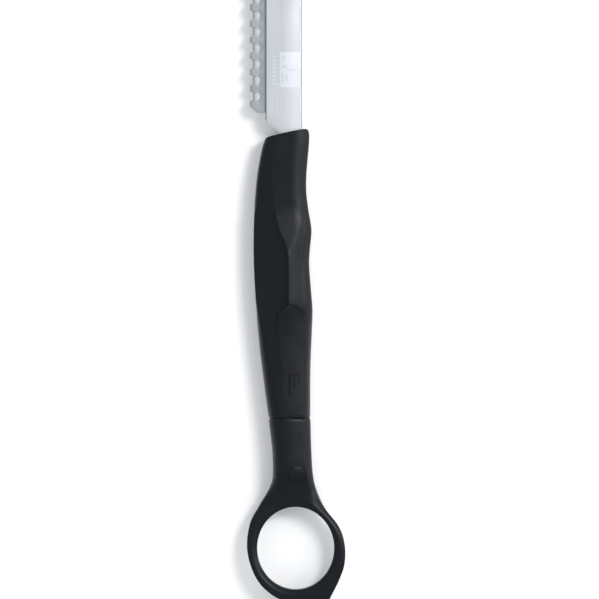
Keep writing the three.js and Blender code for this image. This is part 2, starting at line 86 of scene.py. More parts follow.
def fade(distance, length):
    """A soft step that rises from 0 to 1 over a length."""
    share = np.clip(distance / length, 0, 1)
    return share * share * (3 - 2 * share)


def smax(a, b, radius):
    """The larger of two distances, with the edge between them rounded."""
    share = np.maximum(radius - np.abs(a - b), 0) / radius
    return np.maximum(a, b) + share * share * radius / 4


def smin(a, b, radius):
    return -smax(-a, -b, radius)


def oval(x, y, z, left, right, up, down, squareness):
    """Distance to a rounded section: squareness 2 is an ellipse, and more is boxier."""
    middle = (left(y) + right(y)) / 2
    half = (right(y) - left(y)) / 2
    height = np.where(z > AXIS, up(y), down(y))
    across = np.abs(x - middle) / half
    over = np.abs(z - AXIS) / height
    size = np.maximum((across**squareness + over**squareness) ** (1 / squareness), LEAST)
    slope_across = (across / size) ** (squareness - 1) / half
    slope_over = (over / size) ** (squareness - 1) / height
    steep = np.hypot(slope_across, slope_over)
    return np.maximum((size - 1) / np.maximum(steep, LEAST), DEEP)


def side_slopes(x, y, z, right, top, start):
    """Distance to two flats, one after the other, down which a front surface falls to its right side."""
    inward = x - right(y)
    lift = z - AXIS - top(y)
    gentle, steep = (math.radians(angle) for angle in SIDE_ANGLES)
    first = (inward + start) * math.sin(gentle) + lift * math.cos(gentle)
    drop = (start - SIDE_EDGE) * math.tan(gentle)
    second = (inward + SIDE_EDGE) * math.sin(steep) + (lift + drop) * math.cos(steep)
    return smax(first, second, SIDE_ROUND)


def cylinder_y(x, y, z, radius, start, end):
    """Distance to a round bar along the swivel axis."""
    return np.maximum(np.hypot(x, z - AXIS) - radius, np.maximum(start - y, y - end))


def cylinder_z(x, y, z, spot, radius, start, end):
    """Distance to a round bar that stands upright at a spot."""
    return np.maximum(np.hypot(x - spot[0], y - spot[1]) - radius, np.maximum(start - z, z - end))


def block(x, y, z, low, high):
    """Distance to a block between two corners."""
    near = [np.maximum(low[k] - p, p - high[k]) for k, p in enumerate((x, y, z))]
    return np.maximum(np.maximum(near[0], near[1]), near[2])


def outline_distance(x, y, points):
    """Distance in the plane to a closed outline, negative inside it."""
    x, y = np.broadcast_arrays(x, y)
    best = np.full(x.shape, 1e9)
    inside = np.zeros(x.shape, bool)
    for (ax, ay), (bx, by) in zip(points, np.roll(points, -1, axis=0)):
        ex, ey = bx - ax, by - ay
        along = np.clip(((x - ax) * ex + (y - ay) * ey) / (ex * ex + ey * ey), 0, 1)
        best = np.minimum(best, (x - ax - along * ex) ** 2 + (y - ay - along * ey) ** 2)
        if ay != by:
            inside ^= ((ay > y) != (by > y)) & (x < ex * (y - ay) / (by - ay) + ax)
    return np.where(inside, -1, 1) * np.sqrt(best)


def closed_curve(points, steps):
    """Points on a smooth closed curve through a few points."""
    p = np.array(points, float)
    before, after, beyond = np.roll(p, 1, axis=0), np.roll(p, -1, axis=0), np.roll(p, -2, axis=0)
    t = (np.arange(steps) / steps)[None, :, None]
    p, before, after, beyond = (a[:, None, :] for a in (p, before, after, beyond))
    curve = 0.5 * (
        2 * p
        + (after - before) * t
        + (2 * before - 5 * p + 4 * after - beyond) * t**2
        + (3 * p - before - 3 * after + beyond) * t**3
    )
    return curve.reshape(-1, 2)


# ---------------------------------------------------------------- meshes

VERTEX_PULL = 0.08  # how firmly a vertex is held to the middle of its cell's crossings


def gradient(field, points, values):
    """The field's slope at points where it has the given values."""
    nudge = 0.005
    x, y, z = points.T
    ahead = (field(x + nudge, y, z), field(x, y + nudge, z), field(x, y, z + nudge))
    return (np.stack(ahead, axis=1) - values[:, None]) / nudge


def crossings_of(field, grid, low, step):
    """Grid edges that the zero surface crosses, and the plane it lies in at each crossing.

    Returns, for each axis: the start corners, whether the start is inside, the points and the normals.
    """
    found = []
    for axis in range(3):
        head = [slice(None)] * 3
        tail = [slice(None)] * 3
        head[axis], tail[axis] = slice(0, -1), slice(1, None)
        start, end = grid[tuple(head)], grid[tuple(tail)]
        corners = np.argwhere((start < 0) != (end < 0))
        here = start[tuple(corners.T)]
        there = end[tuple(corners.T)]
        points = corners * step + low
        points[:, axis] += step * here / (here - there)
        values = field(*points.T)
        normals = gradient(field, points, values)
        length = np.maximum(np.linalg.norm(normals, axis=1), 1e-6)[:, None]
        normals = normals / length
        found.append((corners, here < 0, points - normals * (values[:, None] / length), normals))
    return found


def surface_of(field, low, high, step):
    """Vertices (mm) and quads of the surface where field is zero, between two corners.

    Each grid cell that the surface crosses gets one vertex, where the tangent planes at its edges meet,
    so edges and corners stay crisp.
    """
    low = np.array(low, float)
    counts = np.ceil((np.array(high) - low) / step).astype(int) + 1
    axes = [low[k] + step * np.arange(counts[k]) for k in range(3)]
    grid = field(axes[0][:, None, None], axes[1][None, :, None], axes[2][None, None, :])
    grid = np.broadcast_to(grid, counts)
    cells = counts - 1
    found = crossings_of(field, grid, low, step)

    owners, points, normals, rings = [], [], [], []
    for axis, (corners, inside, spots, tilts) in enumerate(found):
        b, c = (axis + 1) % 3, (axis + 2) % 3
        around = []
        for back_b, back_c in ((1, 1), (0, 1), (0, 0), (1, 0)):
            cell = corners.copy()
            cell[:, b] -= back_b
            cell[:, c] -= back_c
            around.append(np.ravel_multi_index(tuple(np.clip(cell, 0, cells - 1).T), cells))
            points.append(spots)
            normals.append(tilts)
        ring = np.stack(around, axis=1)
        ring[~inside] = ring[~inside][:, ::-1]
        rings.append(ring)
        owners.extend(around)
    owners = np.concatenate(owners)
    points = np.concatenate(points)
    normals = np.concatenate(normals)
    used, owner = np.unique(owners, return_inverse=True)

    def total(values):
        return np.bincount(owner, values, len(used))

    share = total(np.ones(len(owner)))
    middle = np.stack([total(points[:, k]) / share for k in range(3)], axis=1)
    offset = ((points - middle[owner]) * normals).sum(axis=1)
    matrix = np.empty((len(used), 3, 3))
    right = np.empty((len(used), 3))
    for i in range(3):
        right[:, i] = total(normals[:, i] * offset)
        for j in range(3):
            matrix[:, i, j] = total(normals[:, i] * normals[:, j])
    matrix += VERTEX_PULL * np.eye(3)
    vertices = middle + np.linalg.solve(matrix, right[:, :, None])[:, :, 0]
    floor = np.stack(np.unravel_index(used, cells), axis=1) * step + low
    vertices = np.clip(vertices, floor, floor + step)
    return vertices, np.searchsorted(used, np.concatenate(rings))


def add_piece(name, points, faces, material, body, node, sharp_angle=35):
    """A mesh piece, given in millimetres from the swivel. It replaces a CAD node, unless node is None."""
    place = np.array([SWIVEL[0], SWIVEL[1], 0])
    mesh = bpy.data.meshes.new(name)
    faces = [[int(corner) for corner in face] for face in faces]
    mesh.from_pydata((np.asarray(points) * MM + place).tolist(), [], faces)
    mesh.validate()
    mesh.shade_smooth()
    mesh.set_sharp_from_angle(angle=math.radians(sharp_angle))
    mesh.materials.append(material)
    piece = bpy.data.objects.new(name, mesh)
    bpy.context.scene.collection.objects.link(piece)
    if node:
        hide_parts(node)
    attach(piece, body)
    return piece


def add_moulding(name, field, low, high, step, material, body, node):
    """A piece whose surface is where a distance field is zero, between two corners."""
    points, faces = surface_of(field, low, high, step)
    add_piece(name, points, faces, material, body, node)


# ---------------------------------------------------------------- materials

PLASTIC_SPECULAR = 0.155


class Nodes:
    """A material's node tree, with short calls to add and join nodes."""

    def __init__(self, name):
        self.material = bpy.data.materials.new(name)
        self.material.use_nodes = True
        self.tree = self.material.node_tree
        self.shader = self.tree.nodes["Principled BSDF"]

    def add(self, kind, inputs=None, **settings):
        node = self.tree.nodes.new(kind)
        for key, value in settings.items():
            setattr(node, key, value)
        for key, value in (inputs or {}).items():
            self.give(node.inputs[key], value)
        return node

    def give(self, socket, value):
        if isinstance(value, bpy.types.NodeSocket):
            self.tree.links.new(value, socket)
        else:
            socket.default_value = value

    def set(self, **inputs):
        for key, value in inputs.items():
            self.give(self.shader.inputs[key.replace("_", " ")], value)

    def place(self, scale=(1, 1, 1)):
        """Object coordinates in metres, stretched by scale."""
        coordinates = self.add("ShaderNodeTexCoord").outputs["Object"]
        return self.add("ShaderNodeMapping", {"Vector": coordinates, "Scale": scale}).outputs[0]

    def noise(self, scale, detail=3, stretch=(1, 1, 1), roughness=0.5):
        inputs = {
            "Vector": self.place(stretch), "Scale": scale, "Detail": detail, "Roughness": roughness,
        }
        return self.add("ShaderNodeTexNoise", inputs).outputs[0]

    def between(self, value, low, high, start=0.3, end=0.7):
        """value from start to end turned into low to high."""
        inputs = {
            "Value": value, "From Min": start, "From Max": end, "To Min": low, "To Max": high,
        }
        return self.add("ShaderNodeMapRange", inputs).outputs[0]

    def mix(self, share, first, second):
        node = self.add("ShaderNodeMix", data_type="RGBA")
        self.give(node.inputs[0], share)
        self.give(node.inputs[6], first)
        self.give(node.inputs[7], second)
        return node.outputs[2]

    def bump(self, height, distance, strength):
        inputs = {"Height": height, "Distance": distance, "Strength": strength}
        return self.add("ShaderNodeBump", inputs).outputs[0]


def moulded_plastic(name, color, roughness, grain):
    """Satin moulded plastic: a fine spark-eroded grain, and slight rubbing and mottling."""
    m = Nodes(name)
    fine = m.noise(9000, detail=2)
    broad = m.noise(160, detail=4)
    light = tuple(1.35 * c for c in color)
    m.set(
        Base_Color=m.mix(m.between(broad, 0, 1), (*color, 1), (*light, 1)),
        Roughness=m.between(broad, roughness - 0.05, roughness + 0.06),
        Specular_IOR_Level=PLASTIC_SPECULAR,
        Normal=m.bump(fine, grain * MM, 0.6),
    )
    return m.material


def brushed_steel(name, color, roughness, scratches, anisotropy=0.6, painted_shade_bands=()):
    """Rolled or brushed sheet: long fine scratches along Y, with soft mottling.

    A band (start, end, strength) of painted shade darkens its colour across the tool, where a tight fold,
    the seam at an edge or a ground bevel looks dark under the lights.
    """
    m = Nodes(name)
    lines = m.noise(900, detail=5, stretch=(1, 0.02, 1), roughness=0.65)
    cloud = m.noise(90, detail=3)
    dark = tuple(0.9 * c for c in color)
    tangent = m.add("ShaderNodeTangent", direction_type="RADIAL", axis="X").outputs[0]
    shade = m.mix(m.between(lines, 0, 1), (*dark, 1), (*color, 1))
    # Each band is painted shade: the base colour is darkened across the tool, in place of shade from the
    # lights.
    for start, end, strength in painted_shade_bands:
        across = m.add("ShaderNodeSeparateXYZ", {"Vector": m.place()}).outputs["X"]
        limits = (SWIVEL[0] + start * MM, SWIVEL[0] + end * MM)
        painted_shade = tuple(strength * c for c in color)
        shade = m.mix(m.between(across, 0, 1, *limits), shade, (*painted_shade, 1))
    m.set(
        Base_Color=shade,
        Metallic=1.0,
        Roughness=m.between(cloud, roughness - 0.04, roughness + 0.04),
        Anisotropic=anisotropy,
        Tangent=tangent,
        Normal=m.bump(lines, scratches * MM, 0.5),
    )
    return m.material


def blasted_steel(name, color, roughness):
    """Bead-blasted sheet: a fine pitted grain that scatters light, with broad soft mottling."""
    m = Nodes(name)
    grain = m.noise(5000, detail=3)
    cloud = m.noise(250, detail=3)
    dark = tuple(0.88 * c for c in color)
    m.set(
        Base_Color=m.mix(m.between(cloud, 0, 1), (*dark, 1), (*color, 1)),
        Metallic=0.45,
        Roughness=m.between(cloud, roughness - 0.04, roughness + 0.05),
        Normal=m.bump(grain, 0.006 * MM, 0.5),
    )
    return m.material


def plain_metal(name, color, roughness):
    """Turned or drawn metal: faint mottling in tone and gloss."""
    m = Nodes(name)
    cloud = m.noise(700, detail=4)
    dark = tuple(0.82 * c for c in color)
    m.set(
        Base_Color=m.mix(m.between(cloud, 0, 1), (*dark, 1), (*color, 1)),
        Metallic=1.0,
        Roughness=m.between(cloud, roughness - 0.06, roughness + 0.08),
        Normal=m.bump(cloud, 0.004 * MM, 0.4),
    )
    return m.material


BLACK = (0.0019, 0.0029, 0.0050)
SHELL = moulded_plastic("satin_black_plastic", BLACK, 0.34, 0.006)
RING = moulded_plastic("satin_black_ring", BLACK, 0.34, 0.005)
INLAY = moulded_plastic("black_grip_inlay", (0.0019, 0.0028, 0.0046), 0.36, 0.008)
POLISHED = moulded_plastic("polished_grip_mark", (0.0016, 0.0024, 0.0040), 0.18, 0.001)
BUTTON = moulded_plastic("black_pin_head", (0.0018, 0.0026, 0.0044), 0.33, 0.003)
# Painted shade on the carrier: its colour is darkened over the spine's fold and along its left edge, in
# place of the fold's dark line and the seam's shadow on the guard.
CARRIER_STEEL = brushed_steel(
    "carrier_satin_steel", (0.60, 0.62, 0.65), 0.34, 0.004,
    painted_shade_bands=[(2.85, 3.1, 0.5), (-6.8, -6.95, 0.3)],
)
GUARD_STEEL = blasted_steel("guard_grey_steel", (0.275, 0.295, 0.32), 0.48)
# Painted shade on the blade: its colour is darkened over the ground bevel and darker still near the cutting
# edge, in place of the dark lines the bevels show in the light.
BLADE_STEEL = brushed_steel(
    "ground_blade_steel", (0.72, 0.74, 0.76), 0.2, 0.002,
    painted_shade_bands=[(-9.7, -10.0, 0.72), (-10.45, -10.55, 0.4)],
)
PLAIN_STEEL = plain_metal("plain_steel", (0.58, 0.59, 0.61), 0.3)
BRONZE = plain_metal("sintered_bronze", (0.50, 0.33, 0.16), 0.42)
FROSTED = brushed_steel("frosted_steel_mark", (0.50, 0.52, 0.55), 0.5, 0.002, anisotropy=0.0)
PRINT = moulded_plastic("grey_print", (0.33, 0.34, 0.36), 0.5, 0.001)
NYLON = moulded_plastic("black_nylon", (0.006, 0.006, 0.007), 0.5, 0.006)

# ---------------------------------------------------------------- handle

PARTING_GAP = 0.1
HANDLE_FOOT = 0.05  # the handle and the ring's neck end on either side of the swivel line
NECK_TOP = -0.15
handle_left = smooth(
    (0, -6.05), (1, -6.35), (11.3, -7.75), (23.2, -9.15), (35.1, -10.1), (47, -10.7), (56, -10.7),
    (65, -10.35), (71, -9.85), (77, -8.9), (81, -8.0), (88, -5.6),
)
handle_right = smooth(
    (0, 6.0), (1, 6.12), (14, 6.17), (26, 6.62), (32, 6.82), (38, 6.37), (46, 5.82), (50, 6.02),
    (56, 6.47), (62, 5.57), (67, 4.97), (72, 4.97), (78, 5.45), (82, 5.8), (88, 5.9),
)
front_height = smooth((0, 5.9), (1, 6.0), (12, 5.9), (33, 5.7), (50, 5.15), (65, 4.85), (88, 4.45))
ridge_height = smooth(
    (20, 4.9), (26, 5.5), (30, 6.2), (32, 6.48), (34, 6.5), (41, 6.28), (48, 6.07), (51, 5.88),
    (57, 5.37), (63.5, 4.8), (68, 4.4),
)
facet_lean = smooth((20, 0.08), (57, 0.08), (60, 0.065), (62.5, 0.015), (64.5, 0))
ridge_fold = smooth((33, -1.0), (48, -1.0), (51, 0.2), (57, 3.0), (64, 6.5))
inlay_height = smooth((0, 5.75), (1, 6.0), (12, 5.9), (24, 5.8), (28, 6.0), (33, 6.42), (36, 6.5))
slope_start = smooth((0, 5.4), (20, 5.0), (30, 4.5), (36, 3.9), (48, 3.5), (56, 3.5), (70, 3.1), (85, 3.5))
slope_blend = smooth((0, 2.0), (26, 1.8), (36, 0.5), (85, 0.4))
back_depth = smooth((0, 5.9), (1, 6.0), (6, 6.3), (14, 6.6), (70, 6.6), (79, 6.3), (88, 4.9))
handle_squareness = smooth((0, 3.0), (6, 3.0), (20, 3.1), (40, 4.2), (88, 4.8))
thumb_edge = smooth(
    (-1, -1.2), (8, -2.0), (24, -3.4), (29.3, -3.66), (31, -3.34), (32.3, -2.4), (33, -1.3),
    (33.5, -0.75), (50, -1.05), (55, -2.95), (60, -4.4), (65, -5.2), (80, -5.6),
)
thumb_height = smooth(
    (-1, 13.2), (6, 12.5), (16, 12.0), (24, 11.6), (31, 11.0), (35, 11.05), (46, 11.05), (56, 10.95),
    (66, 11.0), (80, 11.4),
)
THUMB_SLOPE = 0.12
DISH_DEPTH = 0.4
DISH_START, DISH_START_FADE = 28, 7
DISH_END, DISH_END_FADE = 66, 12
DISH_SPREAD = 2.2  # how gently the dish shallows away from the step
handle_end = smooth(  # y across x, while every other curve runs along y
    (-9.4, 80.0), (-7.9, 82.5), (-6.6, 83.5), (-2.4, 84.6), (2.7, 85.7), (4.5, 85.95), (5.3, 85.8),
    (5.8, 84.9), (6.4, 82.6),
)
INLAY_TOP = (0.15, 29.5, 3.8)  # x, y and radius of the circles at the inlay's two ends
INLAY_FOOT = (1.6, 4.4, 3.0)
INLAY_THICKNESS = 1.0
POCKET_PLAY = 0.3  # how much deeper than the inlay its pocket is
INLAY_OVERLAP = 0.05  # the inlay is moulded over the rim of its pocket, and stands this proud of it:
INLAY_LIFT = 0.03
INLAY_LEAN_START, INLAY_LEAN_LENGTH = 24, 8  # where the front inlay turns to lean as the ridge does
INLAY_CLEARANCE = 0.02  # the rear inlay stays this far off the surface the tool lies on
LIP_HEIGHT = 0.10
LIP_START, LIP_START_FADE = 33, 2
LIP_END, LIP_END_FADE = 51, 3
LIP_PLACE, LIP_WIDTH = 0.75, 0.55  # its middle, from the thumb flat's edge, and how wide it spreads
RIDGE_FOOT, RIDGE_TIP = 33.8, 66
RIDGE_LEFT = -0.5  # the ridge's left edge below its foot, where the thumb flat doesn't bound it
FACET_HINGE = 2.5  # the raised part leans right about this line, and more beyond the fold
STRIP_LEAN = 0.09
MID_GAP = 1  # what belongs to one side only stops this far from the blade plane
CARRIER_SLOT = ((-3.5, 77.7), (3.96, 90), 1.95)  # low corner, high corner, half height
TANG_SLOT = ((-3.2, 49.7), (2.7, 80), 1.15)
HOLLOW = (21, 47.5, 2.3)  # start, end and wall of the hollow in the grip
AXLE_BORE = (2.0, -1, 18.5)  # radius, start and end of a round hole
CLIP_BORE = (3.5, 12.9, 18.5)
BUSH_BORE = 3.15
BUSH_PLAY = 0.1
BUSHES = ((0.5, 4.8), (8.6, 12.8))
SCREWS = {"shell_screw_1": (-0.2, 73), "shell_screw_2": (-0.2, 57), "shell_screw_3": (-1.2, 41)}
SCREW_SEAT = (2.1, -1, 1.8)  # radius, start and end, up from the surface the tool lies on
SCREW_HOLE = (1.15, 0, 9.9)
BOSS_RADIUS = 3.2
ROUND = {  # radii that the handle's edges are rounded with
    "ridge": 0.5, "ridge_root": 0.06, "thumb_step": 0.5, "thumb_flat": 0.4, "end": 0.35, "lying_side": 0.5,
    "foot": 0.2, "openings": 0.2, "parting": 0.25, "inlay_back": 0.3,
}


def handle_body(x, y, z, up=front_height):
    body = oval(x, y, z, handle_left, handle_right, up, back_depth, handle_squareness(y))
    slopes = side_slopes(x, y, z, handle_right, up, slope_start(y))
    return smax(body, slopes, slope_blend(y))


def inlay_plan(x, y):
    """Distance in the plane to the round-ended plate between two circles."""
    (ax, ay, ar), (bx, by, br) = INLAY_TOP, INLAY_FOOT
    ex, ey = bx - ax, by - ay
    along = np.clip(((x - ax) * ex + (y - ay) * ey) / (ex * ex + ey * ey), 0, 1)
    return np.hypot(x - ax - along * ex, y - ay - along * ey) - (ar + along * (br - ar))


def thumb_cut(x, y, z):
    """Distance to the space over the thumb flat, which is dished towards its step."""
    inward = x - thumb_edge(y)
    dish = DISH_DEPTH * fade(DISH_END - y, DISH_END_FADE) * fade(y - DISH_START, DISH_START_FADE)
    dip = np.exp(np.minimum(inward, 0) / DISH_SPREAD) - 0.5
    surface = thumb_height(y) + THUMB_SLOPE * inward + dish * dip
    return smax(surface - z, inward, ROUND["thumb_step"])


def past_handle_end(x, y):
    """Distance in the plane beyond the curve that the handle ends at, round the carrier's root."""
    nudge = 0.05
    slope = (handle_end(x + nudge) - handle_end(x - nudge)) / (2 * nudge)
    return (y - handle_end(x)) / np.sqrt(1 + slope**2)


def lip(x, y):
    """Height of the thin raised lip along the ridge's left edge."""
    along = fade(y - LIP_START, LIP_START_FADE) * fade(LIP_END - y, LIP_END_FADE)
    return LIP_HEIGHT * along * np.exp(-(((x - thumb_edge(y) - LIP_PLACE) / LIP_WIDTH) ** 2))


def lean(x, y):
    """How far the raised part drops towards its right: evenly, and more beyond the fold."""
    return facet_lean(y) * (x - FACET_HINGE) + STRIP_LEAN * np.maximum(x - ridge_fold(y), 0)


def ridge_shape(x, y, z):
    """The raised right half of the handle's front: it leans right, and stops round the grip inlay."""
    beside_inlay = np.where(y < RIDGE_FOOT, RIDGE_LEFT - x, DEEP)
    plan = smax(np.maximum(-inlay_plan(x, y), beside_inlay), y - RIDGE_TIP, ROUND["ridge"])
    ridge = handle_body(x, y, z + lean(x, y), ridge_height) - lip(x, y)
    return np.maximum(smax(ridge, plan, ROUND["ridge"]), AXIS + MID_GAP - z)


def handle_form(x, y, z):
    """The handle's outer surface, before it is split and hollowed."""
    low = handle_body(x, y, z)
    form = smin(low, ridge_shape(x, y, z), ROUND["ridge_root"])
    form = smax(form, -thumb_cut(x, y, z), ROUND["thumb_flat"])
    form = smax(form, past_handle_end(x, y), ROUND["end"])
    form = smax(form, -z, ROUND["lying_side"])
    pocket = np.maximum(inlay_plan(x, y), -low - INLAY_THICKNESS - POCKET_PLAY)
    form = np.maximum(form, -pocket)
    return smax(form, HANDLE_FOOT - y, ROUND["foot"])


def handle_openings(x, y, z):
    """Everything the shells leave open inside: carrier, tang, grip hollow, swivel and screws."""
    start, end, wall = HOLLOW
    boss_x, boss_y = SCREWS["shell_screw_3"]
    hollow = np.maximum(handle_body(x, y, z) + wall, np.maximum(start - y, y - end))
    hollow = np.maximum(hollow, wall - thumb_cut(x, y, z))
    opening = np.maximum(hollow, BOSS_RADIUS - np.hypot(x - boss_x, y - boss_y))
    for low, high, half in (CARRIER_SLOT, TANG_SLOT):
        opening = np.minimum(opening, block(x, y, z, (*low, AXIS - half), (*high, AXIS + half)))
    bores = [AXLE_BORE, CLIP_BORE]
    bores += [(BUSH_BORE, start - BUSH_PLAY, end + BUSH_PLAY) for start, end in BUSHES]
    for bore in bores:
        opening = np.minimum(opening, cylinder_y(x, y, z, *bore))
    for spot in SCREWS.values():
        opening = np.minimum(opening, cylinder_z(x, y, z, spot, *SCREW_SEAT))
        opening = np.minimum(opening, cylinder_z(x, y, z, spot, *SCREW_HOLE))
    return opening


def handle_solid(x, y, z):
    return smax(handle_form(x, y, z), -handle_openings(x, y, z), ROUND["openings"])


def front_shell(x, y, z):
    return smax(handle_solid(x, y, z), AXIS + PARTING_GAP / 2 - z, ROUND["parting"])


def rear_shell(x, y, z):
    return smax(handle_solid(x, y, z), z - AXIS + PARTING_GAP / 2, ROUND["parting"])


def inlay_skin(x, y, z):
    """The surface that the inlays follow, which rises at the front to meet the ridge."""
    turned = fade(y - INLAY_LEAN_START, INLAY_LEAN_LENGTH)
    leaned = z + np.where(z > AXIS, turned * lean(x, y), 0)
    return handle_body(x, y, leaned, inlay_height) - INLAY_LIFT


def inlay(x, y, z):
    """A grip inlay's distance field: a thin plate let into the handle."""
    plate = np.maximum(inlay_skin(x, y, z), inlay_plan(x, y) - INLAY_OVERLAP)
    plate = np.maximum(plate, -handle_body(x, y, z) - INLAY_THICKNESS)
    return smax(plate, INLAY_CLEARANCE - z, ROUND["inlay_back"])


def front_inlay(x, y, z):
    plate = smax(inlay(x, y, z), -thumb_cut(x, y, z), ROUND["thumb_flat"])
    return np.maximum(plate, AXIS + MID_GAP - z)


def rear_inlay(x, y, z):
    return np.maximum(inlay(x, y, z), z - AXIS + MID_GAP)


def make_handle():
    """Both shells and both grip inlays, each looked for between two heights."""
    for name, field, bottom, top, node in (
        ("handle_rear", rear_shell, -0.6, AXIS + 0.6, "handle_rear_shell"),
        ("handle_front", front_shell, AXIS - 0.6, 13.8, "handle_front_shell"),
    ):
        low, high = (-12, -0.6, bottom), (8, 87, top)
        add_moulding(name, field, low, high, 0.25, SHELL, "handle", node)
    for name, field, bottom, top, node in (
        ("inlay_front", front_inlay, AXIS, 13.4, "grip_inlay_front"),
        ("inlay_rear", rear_inlay, -0.6, AXIS, "grip_inlay_rear"),
    ):
        low, high = (-4.6, 0.6, bottom), (5.6, 34, top)
        add_moulding(name, field, low, high, 0.22, INLAY, "handle", node)


# ---------------------------------------------------------------- finger ring

HOLE = (1.77, -38.7, 11.46, 12.3)  # centre and half sizes of the finger hole
RING_HALF = 3.0
RING_OUTLINE = closed_curve([
    (3.6, -15.5), (5.6, -18.5), (7.6, -22), (10.35, -26.8), (14.5, -32.1), (16.28, -37), (16.38, -43),
    (14.68, -48.2), (11.98, -53.6), (10.15, -58), (9.3, -62.4), (8.5, -64.9), (6.8, -65.8),
    (5.2, -64.7), (4.6, -61.6), (3.2, -57.5), (0, -55.2), (-4.6, -53.0), (-8.9, -49.2),
    (-11.6, -43.9), (-12.7, -37.8), (-11.7, -31), (-8.8, -25.9), (-5.6, -21.2), (-3.6, -18),
    (-2.0, -15.5),
], 5)
neck_left = smooth(
    (-31, -11.0), (-25.4, -8.6), (-23.2, -7.25), (-21.4, -6.3), (-19.6, -5.55), (-17.9, -5.1),
    (-15, -4.98), (-10.7, -5.15), (-7.1, -5.45), (-3.6, -5.85), (-1, -6.15), (-0.15, -6.0),
)
neck_right = smooth(
    (-31, 13.0), (-25.4, 9.6), (-23.2, 8.65), (-21.4, 8.0), (-19.6, 7.45), (-17.9, 7.1),
    (-14.3, 6.7), (-7.1, 6.38), (-1, 6.22), (-0.15, 6.1),
)
neck_half = smooth(
    (-31, 1.6), (-28, 2.3), (-25.4, 3.1), (-22, 4.2), (-19.5, 5.1), (-17, 5.78), (-14, 6.1),
    (-10, 6.14), (-1, 6.03), (-0.15, 5.95),
)
NECK_SQUARENESS = 3.0
NECK_SLOPE_START = 5.8
NECK_SLOPE_ROUND = 0.6
NECK_FOOT = -31
NECK_END_ROUND = 0.15
NECK_FILLET = 0.8
SHOULDER_SLOPE = 24  # degrees
SHOULDER_LEAST, SHOULDER_GROWTH = 0.35, 1.75  # least width, and how much wider the shoulders get
SHOULDER_START, SHOULDER_LENGTH = -44, 20
RING_EDGE_ROUND = 0.5
SHOULDER_ROUND = 0.3
HOLE_CHAMFER = (28, 1.3)  # degrees, and how far out from the hole it reaches
HOLE_ROUND = 0.35
CHAMFER_ROUND = 0.2
AXLE_SOCKET = (1.7, -20.3, 1)  # radius, start and end
WASHER_SEAT = (4.4, -0.95, 1)
SEAT_ROUND = 0.06
CROSS_PIN = (2.17, -16.8)
PIN_HEAD = 2.6
PIN_HEAD_PLAY = (0.03, 0.02)  # how far the head is inside its radius, and its seat outside
PIN_SEAT_FLOOR, PIN_HEAD_FLOOR = 3, 3.2  # above the swivel axis
PIN_SHANK = 1.2
PIN_SHANK_TOP = 4
PIN_SHANK_PLAY = 0.12
PIN_DOME, PIN_PROUD = 0.2, 0.05
COLLAR_INSET = 0.15  # a collar just inside the neck's outline hides the swivel's washer
COLLAR_START, COLLAR_END = -1.5, -0.03


def neck_bar(x, y, z):
    """The neck's section, carried on past both its ends."""
    bar = oval(x, y, z, neck_left, neck_right, neck_half, neck_half, NECK_SQUARENESS)
    slopes = side_slopes(x, y, z, neck_right, neck_half, NECK_SLOPE_START)
    return smax(bar, slopes, NECK_SLOPE_ROUND)


def ring_neck(x, y, z):
    return np.maximum(smax(neck_bar(x, y, z), y - NECK_TOP, NECK_END_ROUND), NECK_FOOT - y)


def ring_hole(x, y):
    """Distance in the plane to the oval finger hole, negative inside it."""
    cx, cy, rx, ry = HOLE
    across, along = (x - cx) / rx, (y - cy) / ry
    size = np.maximum(np.hypot(across, along), LEAST)
    return (size - 1) * size / np.hypot(across / rx, along / ry)


def ring_plate(x, y, z):
    """The flat ring: softly sloped shoulders that fade out below its middle."""
    lift = np.abs(z - AXIS) - RING_HALF
    outer = outline_distance(x, y, RING_OUTLINE)
    width = SHOULDER_LEAST + SHOULDER_GROWTH * np.clip((y - SHOULDER_START) / SHOULDER_LENGTH, 0, 1)
    slope = math.radians(SHOULDER_SLOPE)
    flank = (outer + width) * math.sin(slope) + lift * math.cos(slope)
    return smax(smax(outer, lift, RING_EDGE_ROUND), flank, SHOULDER_ROUND)


def finger_ring(x, y, z):
    body = smin(ring_plate(x, y, z), ring_neck(x, y, z), NECK_FILLET)
    collar = np.maximum(neck_bar(x, y, z) + COLLAR_INSET, np.maximum(y - COLLAR_END, COLLAR_START - y))
    body = np.minimum(body, collar)
    hole = ring_hole(x, y)
    lift = np.abs(z - AXIS) - RING_HALF
    degrees, width = HOLE_CHAMFER
    chamfer = math.radians(degrees)
    body = smax(body, -hole, HOLE_ROUND)
    body = smax(body, lift * math.cos(chamfer) - (hole - width) * math.sin(chamfer), CHAMFER_ROUND)
    bore = np.minimum(cylinder_y(x, y, z, *AXLE_SOCKET), cylinder_y(x, y, z, *WASHER_SEAT))
    seat = cylinder_z(x, y, z, CROSS_PIN, PIN_HEAD + PIN_HEAD_PLAY[1], AXIS + PIN_SEAT_FLOOR, 20)
    seat = np.minimum(seat, cylinder_z(x, y, z, CROSS_PIN, PIN_SHANK + PIN_SHANK_PLAY, -1, 20))
    return smax(body, -np.minimum(bore, seat), SEAT_ROUND)


def pin_head(x, y, z):
    """The cross pin: a low domed head in its seat, and a plain shank through to the back."""
    surface = ring_neck(x, y, z)
    distance = np.hypot(x - CROSS_PIN[0], y - CROSS_PIN[1])
    dome = surface + PIN_DOME * (distance / PIN_HEAD) ** 2 - PIN_PROUD
    head = np.maximum(distance - PIN_HEAD + PIN_HEAD_PLAY[0], AXIS + PIN_HEAD_FLOOR - z)
    shank = np.maximum(distance - PIN_SHANK, z - AXIS - PIN_SHANK_TOP)
    return smax(np.minimum(head, shank), dome, SEAT_ROUND)


